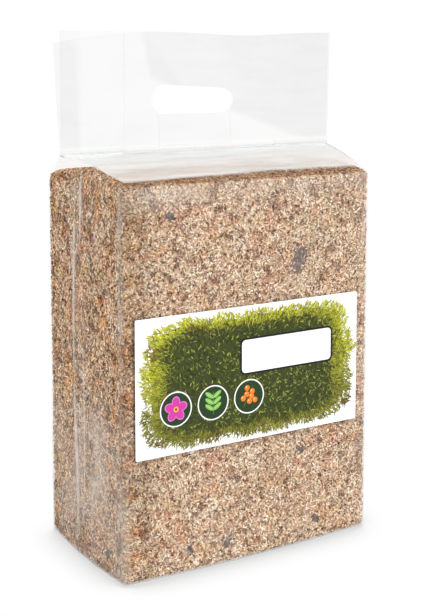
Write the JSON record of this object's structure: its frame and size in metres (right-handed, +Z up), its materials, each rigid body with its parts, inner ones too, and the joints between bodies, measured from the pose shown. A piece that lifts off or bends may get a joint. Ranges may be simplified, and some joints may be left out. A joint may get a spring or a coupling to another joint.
{
  "type": "bagged pressed sphagnum moss bale",
  "caption": "Brick-shaped bale of pressed dried sphagnum moss, wrapped in a clear film bag with a carry flap, a hand slot and a wide picture label on its front.",
  "frame": {"origin": "on the floor, under the middle of the bag's box", "axes": "+Z up, +X to the right as one faces the label, -Y is the side with the label"},
  "size_m": [0.2766, 0.1564, 0.448],
  "materials": {
    "dried_moss": "matte",
    "dark_bark": "matte",
    "clear_film": "gloss",
    "printed_label": "satin"
  },
  "bodies": {
    "root": {"moss_block": "dried_moss", "bark_chip_1": "dark_bark", "bark_chip_2": "dark_bark", "bark_chip_3": "dark_bark", "bark_chip_4": "dark_bark", "bark_chip_5": "dark_bark", "bark_chip_6": "dark_bark", "bark_chip_7": "dark_bark", "bag_film": "clear_film", "bag_label": "printed_label"}
  },
  "joints": []
}
